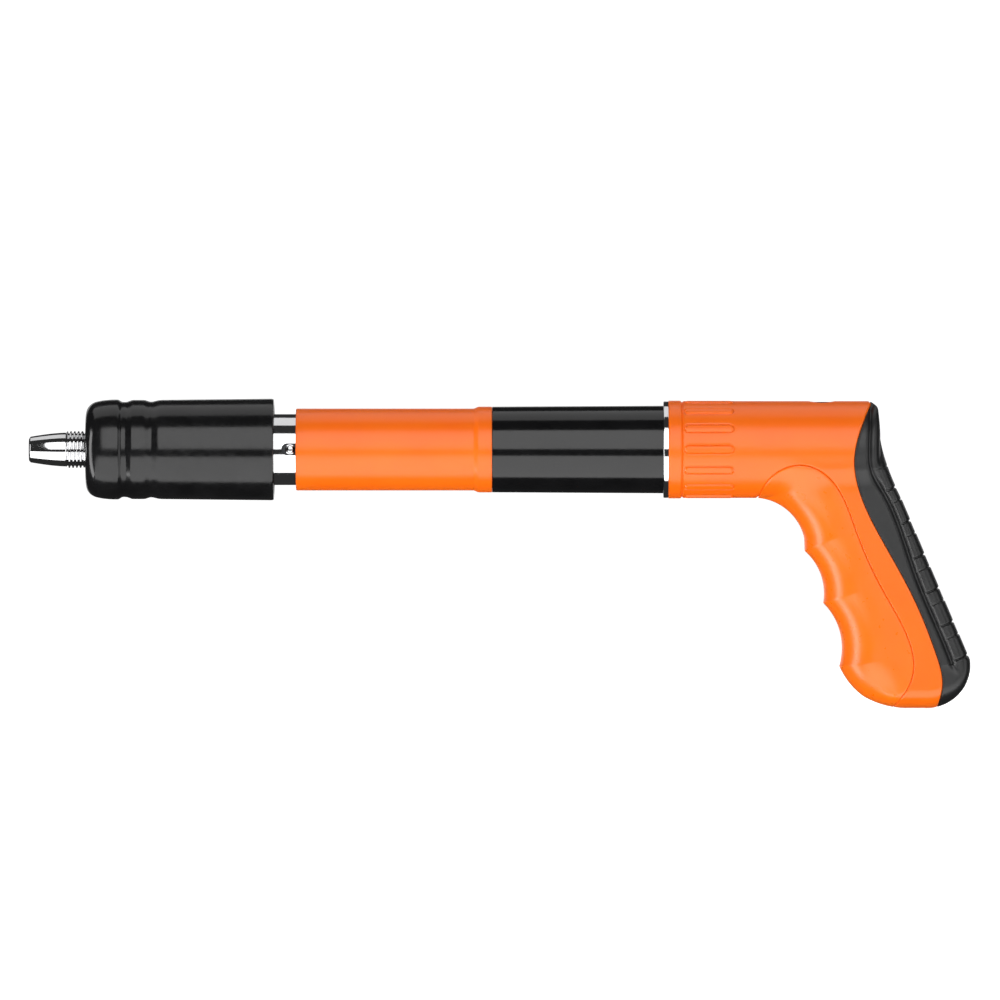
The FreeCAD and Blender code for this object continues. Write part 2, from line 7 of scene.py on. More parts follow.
import bpy
import numpy as np
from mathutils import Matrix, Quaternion, Vector
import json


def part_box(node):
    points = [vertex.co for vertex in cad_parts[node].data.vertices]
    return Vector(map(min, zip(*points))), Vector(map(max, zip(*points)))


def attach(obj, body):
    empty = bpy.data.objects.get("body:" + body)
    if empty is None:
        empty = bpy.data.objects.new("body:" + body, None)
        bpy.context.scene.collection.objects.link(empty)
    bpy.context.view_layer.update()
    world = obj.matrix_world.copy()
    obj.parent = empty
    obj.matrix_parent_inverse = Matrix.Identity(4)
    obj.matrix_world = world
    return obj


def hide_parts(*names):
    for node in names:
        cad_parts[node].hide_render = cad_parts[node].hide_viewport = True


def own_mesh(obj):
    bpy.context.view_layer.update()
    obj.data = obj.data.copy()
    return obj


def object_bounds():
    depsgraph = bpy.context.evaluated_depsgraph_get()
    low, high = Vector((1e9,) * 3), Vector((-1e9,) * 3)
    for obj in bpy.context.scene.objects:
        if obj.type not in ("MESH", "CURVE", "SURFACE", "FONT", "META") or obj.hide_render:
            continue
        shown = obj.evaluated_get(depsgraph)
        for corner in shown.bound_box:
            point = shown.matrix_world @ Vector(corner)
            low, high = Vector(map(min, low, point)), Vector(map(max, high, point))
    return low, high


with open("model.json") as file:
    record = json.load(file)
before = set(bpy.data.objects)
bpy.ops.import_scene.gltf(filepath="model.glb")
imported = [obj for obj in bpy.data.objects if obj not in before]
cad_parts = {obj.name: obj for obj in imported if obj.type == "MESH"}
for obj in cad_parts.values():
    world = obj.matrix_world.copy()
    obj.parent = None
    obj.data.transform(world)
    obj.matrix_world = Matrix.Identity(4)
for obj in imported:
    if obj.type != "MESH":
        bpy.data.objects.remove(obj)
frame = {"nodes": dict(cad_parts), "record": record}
cad_low, cad_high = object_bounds()

MM = 0.001

# --- Sizes read from the frame, in millimetres ----------------------------------------------


def span(node):
    """The lowest and highest corner of a CAD node, in millimetres."""
    low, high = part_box(node)
    return np.array(low) / MM, np.array(high) / MM


muffler_low, muffler_high = span("muffler_shell")
nozzle_low, nozzle_high = span("nozzle")
sleeve_low, sleeve_high = span("fore_sleeve")
housing_low, housing_high = span("housing_tube")
collar_low, collar_high = span("collar_ring")
handle_low, handle_high = span("handle_left")
screw_low, screw_high = span("top_screw")

HANDLE_X = handle_low[0]            # the handle's front
HANDLE_R = collar_high[2]           # radius of the handle's barrel
BORE_R = 3.9                        # the nozzle's bore, as its mount says

# Handle details
BAND = 5.0                          # plain band at the handle's front
RIB_COUNT = 14
RIB_START, RIB_END = 6.2, 25.8
RIB_HALF_WIDTH = 1.5
RIB_HEIGHT = 0.36
GRIP_HALF_WIDTH = 16.6
SEAM_OFFSETS = (0.0, 0.2, 0.42, 0.75)   # rows beside a seam, and how deep each one is rolled in
SEAM_DROPS = (0.62, 0.24, 0.06, 0.0)
SHELL_WALL = 1.2

# --- Curves in the plane of the grip, as arrays of (x, z) -----------------------------------


def under(drop):
    """A height measured down from the underside of the handle's barrel."""
    return -HANDLE_R - drop


def line(start, end, step=0.25):
    start, end = np.array(start, float), np.array(end, float)
    count = max(2, int(np.linalg.norm(end - start) / step))
    return start + (end - start) * np.linspace(0, 1, count)[:, None]


def arc(start, middle, end, step=0.25):
    """Points along the circular arc through three points."""
    (ax, az), (bx, bz), (cx, cz) = start, middle, end
    twice = 2 * (ax * (bz - cz) + bx * (cz - az) + cx * (az - bz))
    a2, b2, c2 = ax * ax + az * az, bx * bx + bz * bz, cx * cx + cz * cz
    ox = (a2 * (bz - cz) + b2 * (cz - az) + c2 * (az - bz)) / twice
    oz = (a2 * (cx - bx) + b2 * (ax - cx) + c2 * (bx - ax)) / twice
    radius = math.hypot(ax - ox, az - oz)
    angles = np.unwrap([math.atan2(z - oz, x - ox) for x, z in (start, middle, end)])
    count = max(3, int(abs(angles[2] - angles[0]) * radius / step))
    turn = np.linspace(angles[0], angles[2], count)
    return np.stack([ox + radius * np.cos(turn), oz + radius * np.sin(turn)], 1)


def spline(points, step=0.25):
    """A smooth curve through the points: a natural cubic over the chord length."""
    p = np.array(points, float)
    t = np.concatenate([[0], np.cumsum(np.linalg.norm(np.diff(p, axis=0), axis=1))])
    n, h = len(p), np.diff(t)
    system, right = np.eye(n), np.zeros((n, 2))
    for i in range(1, n - 1):
        system[i, i - 1:i + 2] = h[i - 1], 2 * (h[i - 1] + h[i]), h[i]
        right[i] = 6 * ((p[i + 1] - p[i]) / h[i] - (p[i] - p[i - 1]) / h[i - 1])
    bend = np.linalg.solve(system, right)
    s = np.linspace(0, t[-1], int(t[-1] / step))
    k = np.clip(np.searchsorted(t, s, side="right") - 1, 0, n - 2)
    a, b, w = (t[k + 1] - s)[:, None], (s - t[k])[:, None], h[k][:, None]
    return ((bend[k] * a ** 3 + bend[k + 1] * b ** 3) / (6 * w)
            + (p[k] / w - bend[k] * w / 6) * a + (p[k + 1] / w - bend[k + 1] * w / 6) * b)


def join(*parts):
    """Curves end to end, with their shared points once."""
    kept = [parts[0]] + [part[1:] for part in parts[1:]]
    return np.concatenate(kept)


def lengths(curve):
    return np.concatenate([[0], np.cumsum(np.linalg.norm(np.diff(curve, axis=0), axis=1))])


def at_length(curve, s):
    total = lengths(curve)
    return np.stack([np.interp(s, total, curve[:, 0]), np.interp(s, total, curve[:, 1])], 1)


def nearest_length(curve, point):
    """How far along the curve its closest place to a point is."""
    return lengths(curve)[np.argmin(np.linalg.norm(curve - np.array(point), axis=1))]


def cut(curve, start, end):
    """The stretch of a curve between the places closest to two points."""
    a, b = nearest_length(curve, start), nearest_length(curve, end)
    count = max(2, int(abs(b - a) / 0.25))
    return at_length(curve, np.linspace(a, b, count))


CUSPS = [(54.4, under(21.2)), (61.8, under(42.0)), (68.2, under(67.2))]
TIP = (35.8, under(0.0))            # front end of the finger grip
SEAM_FOOT = (89.8, under(83.4))
STRAP_FOOT = (107.4, under(83.2))
STRAP_TOP = (80.8, HANDLE_R - 0.3)


def front_outline():
    """From the barrel's underside round the web, the scallops, the toe and the butt to the top."""
    return join(
        arc(TIP, (48.0, under(5.4)), (54.2, under(16.0))),
        line((54.2, under(16.0)), CUSPS[0]),
        arc(CUSPS[0], (60.8, under(30.6)), CUSPS[1]),
        arc(CUSPS[1], (68.5, under(53.7)), CUSPS[2]),
        arc(CUSPS[2], (72.5, under(74.3)), (78.0, under(79.4))),
        arc((78.0, under(79.4)), (85.5, under(82.6)), (94.0, under(84.0))),
        line((94.0, under(84.0)), (102.0, under(84.0))),
        arc((102.0, under(84.0)), (117.5, under(76.6)), (120.4, under(64.6))),
        line((120.4, under(64.6)), (92.2, under(-1.6))),
        arc((92.2, under(-1.6)), (86.6, -4.0), (84.2, 5.8)),
        line((84.2, 5.8), (83.4, HANDLE_R - 4.0)),
        arc((83.4, HANDLE_R - 4.0), (82.1, HANDLE_R - 1.1), (79.0, HANDLE_R)),
    )


outline = front_outline()
front = cut(outline, TIP, SEAM_FOOT)
butt = cut(outline, SEAM_FOOT, STRAP_FOOT)
back = cut(outline, STRAP_FOOT, STRAP_TOP)[::-1]
seam = spline([TIP, (40.0, -12.2), (53.0, -6.4), (64.8, -12.6), (74.0, under(11.6)),
               (85.0, under(36.4)), (95.7, under(57.2)), (97.4, under(69.2)),
               (93.6, under(78.4)), tuple(front[-1])])
strap_edge = spline([tuple(back[0]), (77.0, 9.8), (73.8, -4.6), (76.2, under(-1.6)),
                     (85.8, under(18.4)), (98.6, under(42.4)), (106.2, under(61.6)),
                     (109.0, under(73.6)), tuple(back[-1])])
valley = spline([(80.9, 17.4), (80.6, 3.8), (81.4, -9.0), (86.0, under(-1.6)),
                 (98.2, under(30.2)), (111.0, under(61.0)), (114.4, under(70.0))])

# --- The handle's surface: half its thickness at any place in the side view -----------------

FRONT_ROUND = 19.0                  # depth of the grip's rounded front
BACK_ROUND = 5.5
BACK_POWER = 4.0                    # the back is boxier than the front
BUTT_ROUND = 8.0
REAR_ROUND = 8.0
BLEND_POWER = 9.0                   # how tightly the grip flows into the barrel
CHUNK = 4000                        # points measured at a time
SHAPE_POWER = 2.25                  # 2 is an ellipse, and more is boxier


def dome(q, power=2.0):
    """From 0 at an edge to 1 on the flat, rounded like the quarter of an ellipse."""
    q = np.clip(q, 0, 1)
    return (1 - (1 - q) ** power) ** (1 / power)


def smooth(low, high, value):
    t = np.clip((value - low) / (high - low), 0, 1)
    return t * t * (3 - 2 * t)


def to_segment(points, start, end):
    """Distance to a stretch of line, and how far along it the closest place is, for each row."""
    along = end - start
    share = ((points - start) * along).sum(axis=1) / np.maximum((along ** 2).sum(axis=1), 1e-12)
    share = np.clip(share, 0, 1)
    return np.linalg.norm(start + along * share[:, None] - points, axis=1), share


def measure(points, curve, scale=None):
    """Distance to a curve, and how far along the curve the closest place is, for each point.

    The distance is divided by the curve's own scale at that place, where one is given."""
    weight = np.ones(len(curve)) if scale is None else scale
    total, last = lengths(curve), len(curve) - 1
    gap, place = np.empty(len(points)), np.empty(len(points))
    for i in range(0, len(points), CHUNK):
        part = points[i:i + CHUNK]
        rough = np.linalg.norm(part[:, None, :] - curve[None, :, :], axis=2) / weight
        nearest = rough.argmin(axis=1)
        before, after = np.maximum(nearest - 1, 0), np.minimum(nearest + 1, last)
        low, low_share = to_segment(part, curve[before], curve[nearest])
        high, high_share = to_segment(part, curve[nearest], curve[after])
        gap[i:i + CHUNK] = np.minimum(low, high) / weight[nearest]
        low_place = total[before] + (total[nearest] - total[before]) * low_share
        high_place = total[nearest] + (total[after] - total[nearest]) * high_share
        place[i:i + CHUNK] = np.where(low < high, low_place, high_place)
    return gap, place


def distance(points, curve, scale=None):
    return measure(points, curve, scale)[0]


def edge_shape():
    """How deep, and how boxy, the edge is rounded at each place of the outline."""
    s = lengths(outline)
    foot, heel = nearest_length(outline, SEAM_FOOT), nearest_length(outline, (118.0, under(76.0)))
    low = smooth(foot - 14, foot, s)
    behind = smooth(heel - 12, heel + 8, s)
    front_part = FRONT_ROUND + (BUTT_ROUND - FRONT_ROUND) * low
    depth = front_part + (BACK_ROUND - front_part) * behind
    return depth, SHAPE_POWER + (BACK_POWER - SHAPE_POWER) * behind


OUTLINE_SCALE, OUTLINE_POWER = edge_shape()


def half_thickness(points):
    x, z = points[:, 0], points[:, 1]
    barrel = np.sqrt(np.clip(HANDLE_R ** 2 - z ** 2, 0, None))
    barrel = barrel * dome((84.3 - x) / REAR_ROUND, BACK_POWER)
    inward, place = measure(points, outline, OUTLINE_SCALE)
    grip = GRIP_HALF_WIDTH * dome(inward, np.interp(place, lengths(outline), OUTLINE_POWER))
    grip = grip * (1 - smooth(-9.0, 7.0, z)) * smooth(28.0, 52.0, x)
    return (barrel ** BLEND_POWER + grip ** BLEND_POWER) ** (1 / BLEND_POWER)


# --- Mesh helpers ---------------------------------------------------------------------------


def new_object(name, vertices, faces, sharp_degrees=40.0, closed=False):
    mesh = bpy.data.meshes.new(name)
    mesh.from_pydata([tuple(v) for v in vertices], [], faces)
    mesh.validate()
    if closed and enclosed_volume(mesh) < 0:
        mesh.flip_normals()
    mesh.polygons.foreach_set("use_smooth", [True] * len(mesh.polygons))
    mesh.set_sharp_from_angle(angle=math.radians(sharp_degrees))
    obj = bpy.data.objects.new(name, mesh)
    bpy.context.scene.collection.objects.link(obj)
    return obj


def enclosed_volume(mesh):
    """Volume inside a closed mesh. It is negative where the faces point inward."""
    total = 0.0
    for polygon in mesh.polygons:
        total += polygon.center.dot(polygon.normal) * polygon.area / 3
    return total


def grid_faces(rows, columns, flip=False):
    faces = []
    for i in range(rows - 1):
        for j in range(columns - 1):
            a = i * columns + j
            quad = (a, a + columns, a + columns + 1, a + 1)
            faces.append(quad[::-1] if flip else quad)
    return faces


def solidify(obj, wall):
    modifier = obj.modifiers.new("wall", "SOLIDIFY")
    modifier.thickness = wall * MM
    modifier.offset = -1.0
    modifier.use_even_offset = False


def matched(a, b, pairs, counts, crowd_both=None, crowd_end=None):
    """Columns across two curves: same share of the way between each pair of anchor points.

    One stretch may crowd its columns towards both its ends, and another towards its far end."""
    sa = [0.0] + [nearest_length(a, p) for p, _ in pairs] + [lengths(a)[-1]]
    sb = [0.0] + [nearest_length(b, q) for _, q in pairs] + [lengths(b)[-1]]
    steps_a, steps_b = [], []
    for i, count in enumerate(counts):
        share = np.linspace(0, 1, count, endpoint=False)
        if i == crowd_both:
            share = (1 - np.cos(share * math.pi)) / 2
        if i == crowd_end:
            share = np.sin(share * math.pi / 2)
        steps_a.append(sa[i] + (sa[i + 1] - sa[i]) * share)
        steps_b.append(sb[i] + (sb[i + 1] - sb[i]) * share)
    steps_a.append([sa[-1]])
    steps_b.append([sb[-1]])
    return at_length(a, np.concatenate(steps_a)), at_length(b, np.concatenate(steps_b))


def across(start, end, shares, seam_start, seam_end):
    """Rows of points from one curve to another, with the seam rows at either side."""
    width = np.linalg.norm(end - start, axis=1)[:, None]
    rows = []
    edge = np.array(SEAM_OFFSETS)
    if seam_start:
        rows += [(np.minimum(o / np.maximum(width, 1e-6), 0.25), k) for k, o in enumerate(edge)]
    low = np.minimum(edge[-1] / np.maximum(width, 1e-6), 0.25) if seam_start else 0 * width
    high = 1 - np.minimum(edge[-1] / np.maximum(width, 1e-6), 0.25) if seam_end else 1 + 0 * width
    inner = shares[1:] if seam_start else shares
    inner = inner[:-1] if seam_end else inner
    rows += [(low + (high - low) * s, len(edge) - 1) for s in inner]
    if seam_end:
        rows += [(1 - np.minimum(o / np.maximum(width, 1e-6), 0.25), k)
                 for k, o in reversed(list(enumerate(edge)))]
    points = np.stack([start + (end - start) * t for t, _ in rows])
    drops = np.array([SEAM_DROPS[k] for _, k in rows])
    return points, drops


def patch(plan, drops, pinned, detail=None):
    """Lifts a plan grid of (x, z) to the near side's surface. Pinned rows lie on the outline."""
    rows, columns, _ = plan.shape
    flat = plan.reshape(-1, 2)
    y = -half_thickness(flat).reshape(rows, columns)
    for row in pinned:
        y[row] = 0
    place = np.stack([plan[..., 0], y, plan[..., 1]], 2)
    du = np.gradient(place, axis=1)
    dv = np.gradient(place, axis=0)
    normal = np.cross(du, dv)
    for row in pinned:
        normal[row, :, 1] = 0
    normal /= np.maximum(np.linalg.norm(normal, axis=2, keepdims=True), 1e-9)
    middle = normal[rows // 2, :, 1].mean()
    if middle > 0:
        normal = -normal
    depth = np.repeat(drops[:, None], columns, 1)
    if detail is not None:
        depth = depth + detail(place)
    return place - normal * depth[..., None]


def to_world(place):
    out = place.reshape(-1, 3).copy()
    out[:, 0] += HANDLE_X
    return out * MM


HANDLE_SCREWS = [(77.4, under(10.6)), (88.0, under(31.6)), (102.8, under(70.6))]
SCREW_HOLE_R = 2.8


def half_shell(name, place, side, holes):
    """One half's mesh from its near-side grid. side is -1 for the near half, +1 for the far.

    Faces inside a round hole are left out, and the points round them move on to its circle."""
    rows, columns, _ = place.shape
    points = place.reshape(-1, 3).copy()
    quads = np.array(grid_faces(rows, columns, flip=side > 0))
    for x, z in holes:
        away = np.hypot(points[:, 0] - x, points[:, 2] - z)
        opened = (away < SCREW_HOLE_R)[quads].any(axis=1)
        rim = np.unique(quads[opened])
        rim = rim[away[rim] >= SCREW_HOLE_R]
        share = (SCREW_HOLE_R / away[rim])[:, None]
        points[rim, ::2] = np.array([x, z]) + (points[rim, ::2] - np.array([x, z])) * share
        points[rim, 1] = -half_thickness(points[rim, ::2])
        quads = quads[~opened]
    used, order = np.unique(quads, return_inverse=True)
    vertices = to_world(points[used])
    vertices[:, 1] *= -side
    return new_object(name, vertices, order.reshape(-1, 4).tolist())


def whole_body(name, place):
    """A piece's near and far sides, joined along the outline (row 0) and closed along the seam."""
    rows, columns, _ = place.shape
    near = to_world(place).reshape(rows, columns, 3)
    far = near * np.array([1, -1, 1])
    ring = np.concatenate([far[:0:-1], near])
    core = (near[-1] + far[-1]) / 2
    vertices = np.concatenate([ring.reshape(-1, 3), core])
    count = 2 * rows - 1
    faces = grid_faces(count, columns, flip=True)
    middle = count * columns
    for j in range(columns - 1):
        last = (count - 1) * columns + j
        faces.append((last + 1, middle + j + 1, middle + j, last))
        faces.append((j, middle + j, middle + j + 1, j + 1))
    for column in (0, columns - 1):
        loop = [i * columns + column for i in range(count)] + [middle + column]
        faces.append(tuple(loop if column == 0 else loop[::-1]))
    return new_object(name, vertices, faces, closed=True)


def edge_shares(count):
    """Shares that crowd towards 0, where the surface turns over at the outline."""
    return 1 - np.cos(np.linspace(0, math.pi / 2, count))


# --- Handle pieces --------------------------------------------------------------------------


def rib_lift(x, angle):
    """Height of the round-ended ribs on the handle's barrel, at a place and an angle."""
    pitch = 2 * math.pi / RIB_COUNT
    off = (angle + pitch / 2) % pitch - pitch / 2
    beside = np.abs(off) * HANDLE_R
    past = np.maximum(RIB_START + RIB_HALF_WIDTH - x, x - RIB_END + RIB_HALF_WIDTH)
    gap = np.hypot(beside, np.maximum(past, 0)) - RIB_HALF_WIDTH
    return RIB_HEIGHT * (1 - smooth(-0.5, 0.0, gap)) - 0.32 * np.exp(-((gap - 0.12) / 0.22) ** 2)


def rib_angles():
    """Angles from the top of the barrel to its underside, crowded at the ribs' long edges."""
    angles = list(np.linspace(0, math.pi, 65))
    for k in range(-3, 4):
        for side in (-1, 1):
            edge = math.pi / 2 - 2 * math.pi * k / RIB_COUNT + side * RIB_HALF_WIDTH / HANDLE_R
            angles += [edge + step / HANDLE_R for step in (-0.5, -0.32, -0.16, 0.0, 0.13, 0.26, 0.45)]
    return np.sort(angles)


def shell_detail(place):
    x, y, z = place[..., 0], place[..., 1], place[..., 2]
    angle = np.arctan2(z, -y)
    depth = -rib_lift(x, angle)
    depth = depth + 0.45 * np.exp(-((x - BAND - 0.35) / 0.3) ** 2)
    depth = depth - 0.18 * (1 - smooth(BAND - 0.5, BAND + 0.1, x))
    return depth


RECESS_X = (screw_low[0] + screw_high[0]) / 2 - HANDLE_X
RECESS_R = 5.1
RECESS_SHOW = 0.5                   # of the screw's head above the recess's floor


def sink_recess(place):
    """Presses the round recess for the top screw into the top of the handle."""
    x, y, z = place[..., 0], place[..., 1], place[..., 2]
    away = np.hypot(x - RECESS_X, y)
    inside = (1 - smooth(RECESS_R - 0.35, RECESS_R, away)) * (z > 0)
    floor = screw_high[2] - RECESS_SHOW
    place[..., 2] = np.where(inside > 0, z + (np.minimum(z, floor) - z) * inside, z)
    return place


def shell_grid():
    top = join(line((0.0, HANDLE_R), (79.0, HANDLE_R)), cut(outline, (79.0, HANDLE_R), STRAP_TOP))
    upper = join(top, strap_edge)
    lower = join(line((0.0, under(0.0)), TIP), seam)
    pairs = [
        ((BAND - 0.4, HANDLE_R), (BAND - 0.4, under(0.0))),
        ((RIB_START - 0.3, HANDLE_R), (RIB_START - 0.3, under(0.0))),
        ((RIB_END + 0.3, HANDLE_R), (RIB_END + 0.3, under(0.0))),
        (TIP[:1] + (HANDLE_R,), TIP),
        ((50.0, HANDLE_R), (42.0, -10.6)),
        ((RECESS_X - RECESS_R - 0.5, HANDLE_R), (49.5, -6.9)),
        ((RECESS_X + RECESS_R + 0.5, HANDLE_R), (55.0, -6.6)),
        (tuple(strap_edge[0]), (60.0, -8.9)),
        ((73.8, -4.6), (65.6, -13.4)),
        ((76.2, under(-1.6)), (69.2, under(0.6))),
        ((85.8, under(18.4)), (77.0, under(19.2))),
        ((98.6, under(42.4)), (88.8, under(44.0))),
        ((106.2, under(61.6)), (97.0, under(62.5))),
    ]
    counts = [8, 10, 44, 12, 16, 10, 30, 14, 26, 10, 16, 20, 16, 40]
    a, b = matched(upper, lower, pairs, counts, crowd_both=2, crowd_end=13)
    both = (1 - np.cos(rib_angles())) / 2
    row_count = len(both)
    one = edge_shares(row_count)
    even = np.linspace(0, 1, row_count)
    rows = []
    x_low = b[:, 0]
    on_under = 1 - smooth(TIP[0] - 0.5, TIP[0] + 12.0, x_low)
    past_strap = np.arange(len(a)) >= sum(counts[:8])
    strap_mix = np.clip((np.arange(len(a)) - sum(counts[:8])) / 26.0, 0, 1)
    for k in range(row_count):
        share = on_under * both[k] + (1 - on_under) * one[k]
        share = np.where(past_strap, (1 - strap_mix) * one[k] + strap_mix * even[k], share)
        rows.append(a + (b - a) * share[:, None])
    plan = np.stack(rows)
    bulge = at_length(butt[::-1], even * lengths(butt)[-1]) - plan[:, -1]
    reach = np.linalg.norm(a - a[-1], axis=1)
    plan = plan + bulge[:, None, :] * (1 - smooth(0.0, 16.0, reach))[None, :, None]
    return plan, on_under, past_strap


def seam_drop(points, curve):
    """How far the surface is rolled in beside a seam."""
    return np.interp(distance(points, curve), SEAM_OFFSETS, SEAM_DROPS)


def make_shells():
    plan, on_under, past_strap = shell_grid()
    rows, columns, _ = plan.shape
    flat = plan.reshape(-1, 2)
    y = -half_thickness(flat).reshape(rows, columns)
    y[0, ~past_strap] = 0
    y[-1, on_under > 0.999] = 0
    y[:, -1] = 0
    place = np.stack([plan[..., 0], y, plan[..., 1]], 2)
    normal = np.cross(np.gradient(place, axis=1), np.gradient(place, axis=0))
    normal /= np.maximum(np.linalg.norm(normal, axis=2, keepdims=True), 1e-9)
    if normal[rows // 2, :, 1].mean() > 0:
        normal = -normal
    depth = shell_detail(place)
    edges = np.concatenate([seam, strap_edge])
    depth = depth + seam_drop(flat, edges).reshape(rows, columns)
    place = place - normal * depth[..., None]
    place[0, ~past_strap, 1] = 0
    place[-1, on_under > 0.999, 1] = 0
    place[:, -1, 1] = 0
    place = sink_recess(place)
    split_gap = 0.05
    place[..., 1] = np.minimum(place[..., 1], -split_gap)
    made = []
    for name, side in (("handle_shell_near", -1), ("handle_shell_far", 1)):
        obj = half_shell(name, place, side, HANDLE_SCREWS if side > 0 else [])
        solidify(obj, SHELL_WALL)
        made.append(obj)
    return made


def make_finger_grip():
    pairs = [
        ((48.0, under(5.4)), (47.0, -7.8)),
        ((54.2, under(16.0)), (66.5, -14.6)),
        (CUSPS[0], (73.0, under(9.4))),
        (CUSPS[1], (83.2, under(33.0))),
        (CUSPS[2], (95.4, under(56.4))),
        ((78.0, under(79.4)), (97.2, under(70.5))),
    ]
    a, b = matched(front, seam, pairs, [26, 26, 8, 44, 46, 34, 30])
    plan, drops = across(a, b, edge_shares(64), False, True)
    return whole_body("finger_grip_body", patch(plan, drops, [0]))


GROOVE_PITCH = 14.6
GROOVE_START = (90.6, -15.0)        # where the first strong groove meets the strap's outer edge
GROOVE_COUNT = 6
STEP_OFFSET = 5.4                   # the faint groove after each strong one


def strap_detail(place):
    x, z = place[..., 0], place[..., 2]
    flat = np.stack([x.ravel(), z.ravel()], 1)
    to_valley = distance(flat, valley).reshape(x.shape)
    to_edge = distance(flat, strap_edge).reshape(x.shape)
    to_back, rank = [part.reshape(x.shape) for part in measure(flat, back)]
    valley_gap, valley_rank = measure(valley, back)
    order = np.argsort(valley_rank)
    spine_width = np.interp(rank, valley_rank[order], valley_gap[order])
    inside = to_valley * np.where(to_back > spine_width, -1, 1)
    first = nearest_length(back, GROOVE_START)
    on_spine = smooth(0.6, 1.8, inside)
    fade_end = 1 - smooth(first + 72.0, first + 84.0, rank)
    depth = 1.5 * np.exp(-(to_valley / 1.15) ** 2)
    depth = depth - 0.3 * np.exp(-((inside - 3.0) / 1.5) ** 2)
    depth = depth + 0.35 * (1 - smooth(-0.8, 0.8, inside)) * smooth(0.0, 1.2, to_edge)
    depth = depth * fade_end
    for i in range(GROOVE_COUNT):
        strong = first + GROOVE_PITCH * i
        depth = depth + 0.7 * on_spine * np.exp(-((rank - strong) / 0.38) ** 2)
        faint = strong + STEP_OFFSET
        if i < GROOVE_COUNT - 1:
            depth = depth + 0.34 * on_spine * np.exp(-((rank - faint) / 0.34) ** 2)
            block = smooth(strong, strong + 0.3, rank) * (1 - smooth(faint, faint + 0.3, rank))
            depth = depth + 0.16 * on_spine * block
    early = first - 9.0
    return depth + 0.25 * on_spine * np.exp(-((rank - early) / 0.3) ** 2)


def make_back_strap():
    pairs = [
        ((77.0, 9.8), (83.9, 11.0)),
        ((73.8, -4.6), (86.8, -4.4)),
        ((76.2, under(-1.6)), (91.2, -15.6)),
        ((85.8, under(18.4)), (98.6, under(13.6))),
        ((98.6, under(42.4)), (109.6, under(39.4))),
        ((106.2, under(61.6)), (118.0, under(59.0))),
        ((109.0, under(73.6)), (119.4, under(71.5))),
    ]
    a, b = matched(back * 1.0, strap_edge, [(q, p) for p, q in pairs], [16, 22, 60, 130, 150, 110, 40, 30])
    plan, drops = across(a, b, edge_shares(64), False, True)
    return whole_body("back_strap_body", patch(plan, drops, [0], strap_detail))


# --- Turned pieces --------------------------------------------------------------------------


def filleted(points, steps=7):
    """A profile of (x, radius, corner radius) points, with its corners rounded."""
    out = []
    count = len(points)
    for i, (x, r, corner) in enumerate(points):
        here = np.array([x, r], float)
        if corner <= 0:
            out.append(here)
            continue
        before = np.array(points[i - 1][:2], float) - here
        after = np.array(points[(i + 1) % count][:2], float) - here
        reach = min(corner, np.linalg.norm(before) * 0.48, np.linalg.norm(after) * 0.48)
        a = here + before / np.linalg.norm(before) * reach
        b = here + after / np.linalg.norm(after) * reach
        for t in np.linspace(0, 1, steps):
            out.append((1 - t) ** 2 * a + 2 * t * (1 - t) * here + t * t * b)
    return np.array(out)


def subdivided(profile, longest):
    """The same closed profile with no stretch longer than its limit."""
    longest = np.broadcast_to(longest, len(profile))
    out = []
    for i, here in enumerate(profile):
        after = profile[(i + 1) % len(profile)]
        count = max(1, math.ceil(np.linalg.norm(after - here) / longest[i]))
        for t in np.arange(count) / count:
            out.append(here + (after - here) * t)
    return np.array(out)


def turned(name, profile, segments=160, relief=None, sharp_degrees=32.0):
    """A closed ring-like solid: the closed profile of (x, radius) turned about the bore axis."""
    angle = np.linspace(0, 2 * math.pi, segments, endpoint=False)
    x = np.repeat(profile[:, :1], segments, 1)
    r = np.repeat(profile[:, 1:2], segments, 1)
    if relief is not None:
        r = r + relief(x, r, angle[None, :])
    vertices = np.stack([x, r * np.cos(angle), r * np.sin(angle)], 2) * MM
    faces = []
    count = len(profile)
    for i in range(count):
        after = (i + 1) % count
        for j in range(segments):
            k = (j + 1) % segments
            faces.append((i * segments + j, after * segments + j, after * segments + k, i * segments + k))
    return new_object(name, vertices.reshape(-1, 3), faces, sharp_degrees, closed=True)


THREAD_PITCH = 1.5
THREAD_DEPTH = 0.9
THREAD_RELIEF = 0.8                 # undercut between the thread and the muffler
NECK_R = 7.2
NOSE_LENGTH = 14.8


def thread_relief(x, r, angle):
    """The nozzle's screw thread, cut below its crest radius."""
    start, end = NOSE_LENGTH + 0.2, muffler_low[0] - THREAD_RELIEF
    phase = (x / THREAD_PITCH + angle / (2 * math.pi)) % 1.0
    vee = np.abs(phase - 0.5) * 2
    groove = smooth(0.3, 0.92, vee)
    run = smooth(start - 0.4, start + 0.5, x) * (1 - smooth(end, end + 0.6, x)) * (r > 7.0)
    return -THREAD_DEPTH * groove * run


